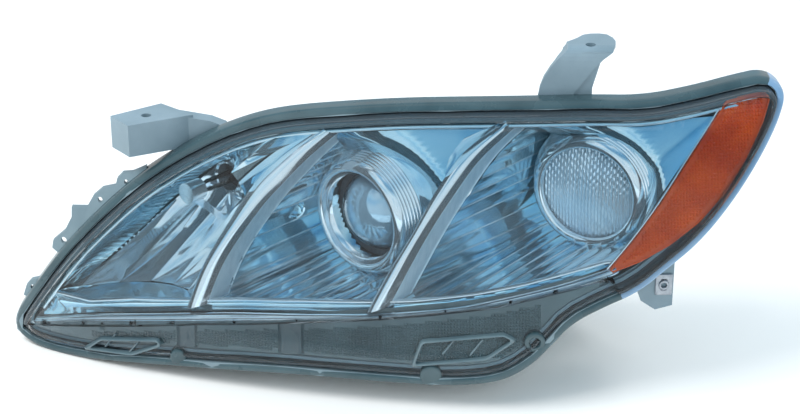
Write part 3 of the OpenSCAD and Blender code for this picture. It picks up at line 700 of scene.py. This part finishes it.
def cove(build, left, right, back, top, low, turn_z, hole, reach=None):
    """Back wall of a cell that curves forward to the lens under its top edge, round a lamp's hole."""
    columns, rows = 44, 34
    lines = []
    for i in range(rows + 1):
        line = []
        for j in range(columns + 1):
            s = j / columns
            z_top = top(s)
            z = low + (z_top - low) * i / rows
            x = left(z) + (right(z) - left(z)) * s
            y_face = face_y(x, z, 12)
            y_back = max(back, y_face + 5)
            w = max(0.0, (z - turn_z) / (z_top - turn_z)) ** 2.2
            if reach:
                w = max(w, reach(s))
            line.append(kept(Vector((x, y_back + (y_face - y_back) * w, z))))
        lines.append(line)

    def skip(m):
        return math.hypot(m.x - hole[0], m.z - hole[1]) < COVE_HOLE_R

    build.grid(lines, skip=skip)


def side_wall(build, line, back, off, beads=None):
    """Wall that runs straight back from a blade's edge, in hollow planks parted by fine beads."""
    length = sum((Vector(b) - Vector(a)).length for a, b in zip(line, line[1:]))
    planks = length / PLANK
    rows = []
    for i in range(97):
        t = i / 96
        hollow = HOLLOW * abs(math.sin(math.pi * t * planks)) if beads else 0
        rows.append([wall_point(line, t, j / 8, back, off) - Vector((hollow * (1 - j / 8), 0, 0))
                     for j in range(9)])
    build.grid(rows)
    if beads:
        for k in range(1, int(planks) + 1):
            path = [wall_point(line, k / planks, j / 8, back, off) for j in range(9)]
            beads.bead(path, (1, 0, 0.4), 0.55, 6)


def wall_point(line, t, s, back, off):
    """Point of a side wall, which bends clear of the housing's step towards the rear."""
    p = along(line, t)
    y = face_y(p.x, p.y, off)
    limit = STEP_TURN_X if back == TURN_BACK else STEP_LOW_X
    return Vector((p.x + max(0, limit - p.x) * smoothstep(s * 1.25), y + (back - y) * s, p.y))


def ring_centre(node):
    low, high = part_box(node)
    return (low + high) / 2 * 1000 + BOLT


def high_bowl(x, z):
    """Y of the high beam reflector."""
    return HIGH_VERTEX.y - ((x - HIGH_VERTEX.x) ** 2 + (z - HIGH_VERTEX.z) ** 2) / (4 * HIGH_FOCAL)


HIGH_BORDER = [
    (-300, -113), (-294, -98), (-270, -68), (-248, -46), (-216, -17), (-180, 7), (-146, 25), (-116, 36),
    (-88, 43),
]
HIGH_LEAD = [
    (-251, -104), (-244, -84), (-236, -66), (-224, -43), (-201, -17), (-173, 1), (-149, 11), (-134, 15),
    (-120, 18.5),
]


def high_cell_wall(build):
    """Funnel from the border of the lens, the blade and the sill in to the reflector's rim."""
    pairs = []
    count = 440
    for k in range(count + 1):
        t = k / count
        a, b = along(HIGH_BORDER, t), along(HIGH_LEAD, t)
        fluted = smoothstep((0.56 - t) / 0.08) * smoothstep((t - 0.08) / 0.04)
        pairs.append((on_face(a.x, a.y, 12), b, 1.6 * fluted * math.sin(math.pi * k / 4), 1))
    blade_rim = [(-120, 18.5), (-122, 3), (-129, -21), (-138, -51), (-142, -98)]
    for k in range(1, 41):
        t = k / 40
        a, b = along(NOSE_1_LEFT[::-1], t), along(blade_rim, t)
        pairs.append((Vector((a.x, face_y(a.x, a.y, 12), a.y)), b, 0, 0.1))
    for k in range(1, 61):
        u = -164 - (300 - 164) * k / 60
        b = Vector((-142 - 109 * k / 60, -98 - 6 * k / 60))
        pairs.append((on_face(u, sill(u) - 1, 14.5), b, 0.5 * (k % 2), 0.05))
    rows = []
    for start, b, ripple, bow in pairs:
        clear = 1.5 + 3.2 * smoothstep((b.y + 60) / 60)
        end = Vector((b.x, high_bowl(b.x, b.y) - clear, b.y))
        line = []
        for j in range(19):
            s = j / 18
            sag = bow * math.sin(math.pi * s)
            q = start.lerp(end, s) + Vector((-3.5 * sag, 9 * sag, 2.5 * sag))
            near = smoothstep((s - 0.28) / 0.1)
            line.append(q + Vector((0.25, -0.8, 0.25)) * (0.7 * ripple * near))
        rows.append(line)
    build.grid(rows)


def clipped(polygon, window):
    """Part of a polygon inside a convex window whose corners run anticlockwise."""
    for i, a in enumerate(window):
        b = window[(i + 1) % len(window)]
        side = lambda p: (b[0] - a[0]) * (p[1] - a[1]) - (b[1] - a[1]) * (p[0] - a[0])
        kept = []
        for j, q in enumerate(polygon):
            p = polygon[j - 1]
            sp, sq = side(p), side(q)
            if (sp >= 0) != (sq >= 0):
                f = sp / (sp - sq)
                kept.append((p[0] + (q[0] - p[0]) * f, p[1] + (q[1] - p[1]) * f))
            if sq >= 0:
                kept.append(q)
        polygon = kept
        if not polygon:
            return []
    return polygon


def build_high_reflector():
    """Faceted bowl: leaning panels, each a patch of the paraboloid set a little in or out."""
    bowl = Build()
    rows = [(-106, -30), (-30, -12), (-12, 2), (2, 22)]
    lean = 0.42
    hole = 13.5
    for r, (z0, z1) in enumerate(rows):
        width = (20, 17, 14, 12)[r]
        for c in range(-1, 12):
            x0 = -262 + c * width + 3 * r
            corners = [(x0 + lean * (z0 + 90), z0), (x0 + width + lean * (z0 + 90), z0),
                       (x0 + width + lean * (z1 + 90), z1), (x0 + lean * (z1 + 90), z1)]
            shape = clipped(HIGH_RIM, corners)
            if len(shape) < 3:
                continue
            set_in = random.uniform(-0.9, 0.9)
            tilt_x, tilt_z = random.uniform(-0.05, 0.05), random.uniform(-0.04, 0.05)
            mx = sum(p[0] for p in shape) / len(shape)
            mz = sum(p[1] for p in shape) / len(shape)

            def place(x, z, lift=0.0):
                y = high_bowl(x, z) + set_in + tilt_x * (x - mx) + tilt_z * (z - mz)
                return Vector((x, y + lift, z))

            patch = Build()
            patch.plate(shape, place, 4.5)
            faces = []
            for f in patch.faces:
                middle = sum((patch.verts[i] for i in f), Vector()) / 3 - HIGH_VERTEX
                if math.hypot(*middle.xz) > hole:
                    faces.append(f)
            bowl.add(patch.verts, faces)
            dense = []
            for i, p in enumerate(shape):
                q = shape[(i + 1) % len(shape)]
                n = max(1, int(math.hypot(q[0] - p[0], q[1] - p[1]) / 4.5))
                dense += [(p[0] + (q[0] - p[0]) * k / n, p[1] + (q[1] - p[1]) * k / n) for k in range(n)]
            bowl.grid([[place(*q) for q in dense], [place(*q, 2.2) for q in dense]], closed=True,
                      skip=lambda m: math.hypot(m.x - HIGH_VERTEX.x, m.z - HIGH_VERTEX.z) < hole)
    bowl.lathe([(12.3, -2), (12.3, 15), (19, 15), (19, -1.5), (14.4, -3.2), (12.3, -2)], HIGH_VERTEX)
    bowl.make("high_reflector_bowl", MIRROR, "high_unit", "mirror_coat", ["high_reflector"], 25)


def build_bezel():
    bezel, beads = Build(), Build()
    # Low beam cell
    proj = ring_centre("projector_ring")
    satin_1 = [(x + 1, z) for x, z in NOSE_1_RIGHT]
    satin_2 = [(x + 1, z) for x, z in NOSE_2_RIGHT]
    cove(bezel, lambda z: max(STEP_LOW_X, wall_x(NOSE_1_RIGHT, z) - 1), lambda z: wall_x(NOSE_2_LEFT, z) + 1,
         LOW_BACK, lambda s: 43 + 11 * s, -93, -4, (proj.x, proj.z))
    side_wall(bezel, satin_1, LOW_BACK, 13 + SATIN_DEPTH * COS, beads)
    side_wall(bezel, NOSE_2_LEFT, LOW_BACK, 13)
    ribbed_floor(bezel, beads, -158, 22, LOW_BACK, -108, 0.01)
    # Turn cell
    side_wall(bezel, satin_2, TURN_BACK, 13 + SATIN_DEPTH * COS, beads)
    amber_edge = [(139, -46), (146, -10), (150, 20), (155, 58)]
    cove(bezel, lambda z: max(STEP_TURN_X, wall_x(NOSE_2_RIGHT, z) - 1), lambda z: wall_x(amber_edge, z),
         TURN_BACK, lambda s: 53 + 3 * s, -76, 10, (TURN_AT.x - 6.5, TURN_AT.z),
         reach=lambda s: max(0, (s - 0.8) / 0.2) ** 2)
    ribbed_floor(bezel, beads, -14, 180, TURN_BACK, 24, 0.06)
    # High beam cell
    high_cell_wall(bezel)
    bezel.make("bezel_cells", CELL, "lamp", "chrome_plate", ["bezel"])
    for line, back in ((satin_1, LOW_BACK), (satin_2, TURN_BACK)):
        foot = [wall_point(line, 0.055, j / 10, back, 13 + SATIN_DEPTH * COS) for j in range(11)]
        beads.bead(foot, (1, 0, 0.7), lambda i: 2.0 - 0.1 * i, 8)
    beads.make("bezel_beads", BRIGHT, "lamp", "chrome_plate")
    cup = Build()
    bowl = [(9.5, 2), (9.5, -1), (8.6, -2), (7.4, -1.4), (6.8, 1), (5.5, 6), (3, 8.5), (0.01, 9)]
    cup.lathe(bowl, (-112, -8, -32), 66, 48)
    cup.make("low_cell_cup", CELL, "lamp", "chrome_plate")

    rail = Build()
    rows = []
    for k in range(121):
        t = k / 120
        a, b = along(RAIL_TOP, t), along(RAIL_BOTTOM, t)
        line = []
        for j in range(17):
            q = a.lerp(b, j / 16)
            line.append(on_face(q.x, q.y, 11.5 - 2.4 * abs(math.sin(2 * math.pi * j / 16)) ** 0.7))
        rows.append(line)
    rail.grid(rows)
    sill_rows = []
    for k in range(161):
        u = -306 + 478 * k / 160
        z = sill(u)
        sill_rows.append([on_face(u, z + h, d) for h, d in (
            (0.9, 16), (1.0, 13.4), (0.5, 12.5), (-0.3, 12.4), (-0.9, 13), (-1.0, 14.4))])
    rail.grid(sill_rows)
    rail.make("bezel_rail", BRIGHT, "lamp", "chrome_plate")

    band = Build()
    rows = []
    for k in range(161):
        u = -306 + 478 * k / 160
        top_z, low_z = sill(u) - 0.9, at_first(RAIL_TOP, u) + 0.2
        rows.append([on_face(u, top_z + (low_z - top_z) * j / 8, 14.4 + 3.2 * math.sin(math.pi * j / 8))
                     for j in range(9)])
    band.grid(rows)
    band.make("bezel_pocket_band", CELL, "lamp", "chrome_plate")


def ring_profile():
    """Bright lamp ring: rounded front lip, six ribs and a plain skirt."""
    open_r = 40
    front = [(open_r, 4.5), (open_r, 2.2), (open_r + 0.7, 0.7), (open_r + 2.2, 0)]
    front += [(open_r + 4.5, 0.5), (open_r + 7, 2.2), (open_r + 8.8, 4.2), (open_r + 9.4, 5.4)]
    ribs = []
    for i in range(6):
        r, y = open_r + 9.4 + i * 1.2, 6.0 + i * 2.6
        ribs += [(r - 0.7, y), (r - 0.7, y + 0.5), (r + 0.5, y + 0.9), (r + 0.9, y + 1.7),
                 (r + 0.7, y + 2.4)]
    return front + ribs + [(55.8, 22.2), (56, 23.5), (56, 31.5)]


def build_rings():
    proj = ring_centre("projector_ring") - Vector((0, 16, 0))
    ring = Build()
    ring.lathe([(36.6, 9.5), (38, 8)] + ring_profile(), proj)
    ring.make("projector_ring_shell", BRIGHT, "lamp", "chrome_plate", ["projector_ring"], 50)
    ring = Build()
    ring.lathe([(41.5, 7.5)] + ring_profile(), TURN_AT, TURN_TOE)
    ring.make("turn_ring_shell", BRIGHT, "lamp", "chrome_plate", ["turn_ring"], 50)


def build_projector_lens():
    """Thick plano-convex lens with a ground edge."""
    lens = Build()
    centre = ring_centre("projector_lens")
    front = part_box("projector_lens")[0].y * 1000 + BOLT.y
    radius, rise, proud, widest = 34.5, 22, 7, math.radians(66)
    profile = [(0.01, -proud)]
    for k in range(1, 29):
        a = widest * k / 28
        profile.append((radius * math.sin(a) / math.sin(widest),
                        rise * (1 - math.cos(a)) / (1 - math.cos(widest)) - proud))
    profile += [(radius, 15.5), (36.4, 15.5), (36.4, 18), (0.01, 18)]
    lens.lathe(profile, (centre.x, front, centre.z), 0, 96)
    lens.make("projector_lens_glass", PAINTED_LIGHT_LENS_GLASS, "low_unit", "lens_glass", ["projector_lens"], 35)


def build_turn_lens():
    """Fluted dome: upright flutes, each broken into short prisms."""
    disc = Build()
    toe = math.radians(TURN_TOE)
    radius, pitch = 45.5, 2.9
    rows = []
    count = 192
    for i in range(count + 1):
        x = radius * math.sin(math.pi * (i / count - 0.5)) * 0.9995
        half = math.sqrt(radius * radius - x * x)
        flute = math.sin(math.pi * x / pitch) ** 2
        phase = 2.4 * math.floor(x / pitch)
        line = []
        for j in range(65):
            z = half * math.sin(math.pi * (j / 64 - 0.5))
            r = math.hypot(x, z)
            d = 6 + 4.6 * (r / radius) ** 2 + 0.75 * flute + 0.2 * math.sin(2 * math.pi * z / 6.4 + phase)
            line.append(TURN_AT + Vector((x * math.cos(toe) - d * math.sin(toe),
                                          x * math.sin(toe) + d * math.cos(toe), z)))
        rows.append(line)
    disc.grid(rows)
    disc.make("turn_lens_fluted", FLUTED, "lamp", "clear_lens", ["turn_inner_lens"], 50)


def build_border():
    """Dark moulding, knurled line and bright bead along the top, inside the lens."""
    last = 8 * 16 - 2
    dark = Build()
    rows = []
    for d, off in ((3.6, 14.5), (3.6, 11.6), (4.4, 10.8), (5.4, 10.6), (6.6, 11.0), (7.2, 11.6), (7.4, 14)):
        rows.append([on_face(p.x, p.y, off) for p in outline(d)[:last]])
    dark.grid(rows)
    dark.make("border_trim", EDGE_TRIM, "lamp", "dark_trim")

    bead = Build()
    rows = []
    for k in range(9):
        a = math.pi * k / 8
        d, off = 9.6 - 1.2 * math.cos(a), 11.4 - 1.5 * math.sin(a)
        rows.append([on_face(p.x, p.y, off) for p in outline(d)[1:last]])
    bead.grid(rows)
    bead.make("border_bead", BRIGHT, "lamp", "chrome_plate")

    knurl = Build()
    inner, outer = outline(8.3)[1:last], outline(6.9)[1:last]
    walked, want = 0.0, 0.0
    for i in range(len(inner) - 1):
        a, b = inner[i], inner[i + 1]
        c, d = outer[i], outer[i + 1]
        length = (b - a).length
        while want < walked + length:
            f = (want - walked) / max(length, 1e-6)
            p, q = a.lerp(b, f), c.lerp(d, f)
            ahead = (b - a).normalized() * 0.5
            low = [on_face(v.x, v.y, 11.6) for v in (p - ahead, p + ahead, q + ahead, q - ahead)]
            top = [on_face(v.x, v.y, 10.2) for v in (p.lerp(q, 0.2), q.lerp(p, 0.2))]
            knurl.add(low + top, [(0, 1, 4), (1, 2, 5, 4), (2, 3, 5), (3, 0, 4, 5)])
            want += 1.8
        walked += length
    knurl.make("border_knurl", DARK_TRIM, "lamp", "dark_trim", (), 20)


def build_flange():
    """Edge of the seal channel, with a soft corner: dark round the body, and a pale blue finish along the
    wing that is a painted sky reflection on the same edge.
    """
    profile = [(-1.6, 9.2), (-2.2, 8.2), (-5.2, 7.9), (-6.5, 8.4), (-7.1, 9.6), (-7.1, 18.4), (-5.6, 19.2)]
    size = len(outline(0))
    top, wing = 8 * 17 - 2, 8 * 24
    # the wing run takes the painted reflection finish; the top and the skirt keep the dark edge finish
    for name, first, last, mat in (("top", 0, top + 1, EDGE_TRIM), ("wing", top, wing + 1, PAINTED_REFLECTION_WING_EDGE),
                                   ("skirt", wing, size + 1, EDGE_TRIM)):
        edge = Build()
        rows = []
        for d, off in profile:
            line = outline(d)
            line = (line + line[:1])[first:last]
            rows.append([on_face(p.x, p.y, off) for p in line])
        edge.grid(rows)
        edge.make("flange_edge_" + name, mat, "lamp", "housing_grey", (), 60)


def build_lower_trim():
    """Dark panel behind the skirt: smooth under the rail, knurled below."""
    panel = Build()
    top = [(u, at_first(STEP_LINE, u) + 3) for u in range(-300, 170, 10)]
    low_edge = [(u, min(at_first(STEP_LINE, u) - 1, lower_edge(u) + 7)) for u in range(160, -310, -10)]
    panel.plate(top + low_edge, lambda u, z: on_face(u, z, 14.2), 8)
    pitch = 2.5
    for i in range(150):
        for j in range(34):
            u, z = -262 + i * pitch, -148 + j * pitch
            if not (lower_edge(u) + 9 < z < at_first(STEP_LINE, u) - 9 - pitch):
                continue
            corners = ((u, z), (u + pitch, z), (u + pitch, z + pitch), (u, z + pitch))
            low = [on_face(a, b, 14) for a, b in corners]
            tip = on_face(u + pitch / 2, z + pitch / 2, 12.9)
            panel.add(low + [tip], [(0, 1, 4), (1, 2, 4), (2, 3, 4), (3, 0, 4)])
    panel.make("lower_panel", DARK_TRIM, "lamp", "dark_trim", ["lower_trim"], 15)

    patch = Build()
    for u0, u1 in ((-186, -168), (-100, -78)):
        rows = []
        for i in range(9):
            u = u0 + (u1 - u0) * i / 8
            low, high = lower_edge(u) + 8, at_first(STEP_LINE, u) - 5
            proud = 12.4 if 0 < i < 8 else 14
            middle = [on_face(u, low + (high - low) * j / 5, proud) for j in range(6)]
            rows.append([on_face(u, low, 14)] + middle + [on_face(u, high, 14)])
        patch.grid(rows)
    patch.make("lower_panel_pads", EDGE_TRIM, "lamp", "dark_trim")

    bumps = Build()
    for u, r in ((-184, 7), (25, 9)):
        q = on_face(u, lower_edge(u) + 1, 9)
        dome = [(0.01, -2.2), (r * 0.7, -2.1), (r * 0.9, -1.6), (r, -0.4), (r, 8)]
        bumps.lathe(dome, q, math.degrees(SWEEP), 32)
    q = on_face(108, -100, 10)
    bumps.lathe([(4.2, 4), (4.2, -2), (5, -3), (7.5, -3), (8.4, -2), (8.6, 5)], q, math.degrees(SWEEP), 40)
    bumps.make("skirt_bosses", EDGE_TRIM, "lamp", "clear_lens", (), 50)


def lower_edge(u):
    return at_first(SKIRT_LINE, u)


def build_clip():
    """Folded steel clip that holds the nut on the lower lug."""
    clip = Build()
    shape = [Vector(q) for q in ((209, -82), (209, -63), (223, -63), (223, -82))]
    loops = []
    for d, depth in ((0, 9), (0, 6.6), (0.5, 6.1), (4.2, 6.1), (4.8, 6.8), (4.8, 9)):
        loops.append([chord(p.x, depth, p.y) for p in softened(inset(shape, d), 1.5)])
    clip.grid(loops, closed=True)
    clip.lathe([(4.4, 3), (4.4, -3.4), (3.9, -4), (2.6, -4), (2.2, -3.4), (2.2, 3)], chord(216, 9, -72.5),
               math.degrees(SWEEP), 40)
    clip.make("lower_lug_clip", CAST, "lamp", "steel", (), 40)


def build_amber():
    """Reflex plate with its field of small pyramids, and the bright bead along its inner side."""
    build = Build()
    shape = softened(AMBER_LINE, 2)
    polygon = [tuple(p) for p in shape]
    build.plate(polygon, lambda u, z: on_face(u, z, 10.6), 6)
    rim = [[on_face(p.x, p.y, off) for p in softened(inset(AMBER_LINE, d), 2)]
           for d, off in ((1.6, 9.4), (0.8, 9.0), (0.1, 9.4), (0, 12.5))]
    build.grid(rim, closed=True)
    pitch = 2.6
    keep = [tuple(p) for p in softened(inset(AMBER_LINE, 2.2), 2)]
    for i in range(80):
        for j in range(60):
            u, z = 160 + i * pitch, -52 + j * pitch
            corners = [(u, z), (u + pitch, z), (u + pitch, z + pitch), (u, z + pitch)]
            if all(inside(c, keep) for c in corners):
                base = [on_face(a, b, 10.4) for a, b in corners]
                tip = on_face(u + pitch / 2, z + pitch / 2, 9.5)
                build.add(base + [tip], [(0, 1, 4), (1, 2, 4), (2, 3, 4), (3, 0, 4)])
    build.make("amber_plate", AMBER, "lamp", "amber", ["amber_reflex"], 12)
    edge = Build()
    left = [AMBER_LINE[0]] + AMBER_LINE[:-5:-1]
    path = [along(left, k / 40) for k in range(41)]
    edge.bead([on_face(p.x - 1.2, p.y + 0.6, 10.4) for p in path], chord(0, -1, 0), 1.1, 8)
    edge.make("amber_edge", BRIGHT, "lamp", "chrome_plate")


# ---------------------------------------------------------------- stage
def build_stage():
    low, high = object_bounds()
    floor_z = low[2] - 0.0005
    bpy.ops.mesh.primitive_plane_add(size=14, location=(0, 0, floor_z))
    floor = bpy.context.object
    floor.name = "floor"
    mat, nodes, links, shader = new_material("floor_paper")
    cloud = noise(nodes, links, 3, 2)
    paper = ramp(nodes, links, cloud, [(0.4, (0.95, 0.925, 0.89)), (0.6, (0.97, 0.945, 0.91))])
    links.new(paper, shader.inputs["Base Color"])
    shader.inputs["Roughness"].default_value = 0.7
    floor.data.materials.append(mat)

    world = bpy.data.worlds.new("studio")
    bpy.context.scene.world = world
    world.use_nodes = True
    nodes, links = world.node_tree.nodes, world.node_tree.links
    place = nodes.new("ShaderNodeTexCoord")
    split = nodes.new("ShaderNodeSeparateXYZ")
    links.new(place.outputs["Generated"], split.inputs[0])
    height = spread(nodes, links, split.outputs["Z"], 0, 1)
    height.node.inputs["From Min"].default_value = -0.1
    stops = [
        (0.0, (0.88, 0.93, 0.96)),
        (0.09, (1.0, 1.0, 1.0)),
        (0.32, (0.88, 0.96, 1.0)),
        (0.46, (0.30, 0.60, 0.82)),
        (0.6, (0.74, 0.94, 1.0)),
        (0.78, (0.06, 0.27, 0.46)),
        (1.0, (0.34, 0.64, 0.86)),
    ]
    sky = ramp(nodes, links, height, stops)
    puff = nodes.new("ShaderNodeTexNoise")
    puff.inputs["Scale"].default_value = 2.2
    puff.inputs["Detail"].default_value = 5
    links.new(place.outputs["Generated"], puff.inputs["Vector"])
    cover = ramp(nodes, links, puff.outputs[0], [(0.47, (0, 0, 0)), (0.6, (1, 1, 1))])
    clouds = nodes.new("ShaderNodeMix")
    clouds.data_type = "RGBA"
    links.new(cover, clouds.inputs["Factor"])
    links.new(sky, clouds.inputs["A"])
    clouds.inputs["B"].default_value = (1, 1, 1, 1)
    links.new(clouds.outputs["Result"], nodes["Background"].inputs["Color"])
    nodes["Background"].inputs["Strength"].default_value = 0.9

    for name, at, size, power, colour in (
        ("key", (-0.9, -1.4, 1.7), (1.5, 1.0), 42, (1, 1, 1)),
        ("fill", (1.8, -1.1, 1.0), (1.0, 1.4), 16, (0.9, 0.95, 1)),
        ("rim", (0.3, 1.6, 1.5), (2.0, 0.7), 22, (0.92, 0.96, 1)),
    ):
        data = bpy.data.lights.new(name, "AREA")
        data.shape = "RECTANGLE"
        data.size, data.size_y = size
        data.energy = power
        data.color = colour
        light = bpy.data.objects.new(name, data)
        light.location = at
        light.visible_glossy = False
        aim = Vector((-0.06, -0.16, -0.1)) - Vector(at)
        light.rotation_euler = aim.to_track_quat("-Z", "Y").to_euler()
        bpy.context.scene.collection.objects.link(light)
    scene = bpy.context.scene
    scene.view_settings.view_transform = "Standard"
    scene.view_settings.look = "None"


def build_camera():
    target = row((0, 0, 0))
    azimuth, elevation, distance = math.radians(42), math.radians(24), 1.5
    toward = Vector((math.sin(azimuth) * math.cos(elevation), -math.cos(azimuth) * math.cos(elevation),
                     math.sin(elevation)))
    data = bpy.data.cameras.new("camera")
    data.lens = 84.4
    data.sensor_width = 36
    data.clip_end = 50
    camera = bpy.data.objects.new("camera", data)
    camera.location = target + toward * distance
    camera.rotation_euler = (-toward).to_track_quat("-Z", "Y").to_euler()
    bpy.context.scene.collection.objects.link(camera)
    bpy.context.scene.camera = camera


build_camera()
build_stage()
finish_cad_nodes()
build_lens()
blade("blade_one", NOSE_1_LEFT, NOSE_1_RIGHT, "blade_inner")
blade("blade_two", NOSE_2_LEFT, NOSE_2_RIGHT, "blade_middle")
build_bezel()
build_rings()
build_projector_lens()
build_turn_lens()
build_high_reflector()
build_border()
build_flange()
build_lower_trim()
build_clip()
build_amber()
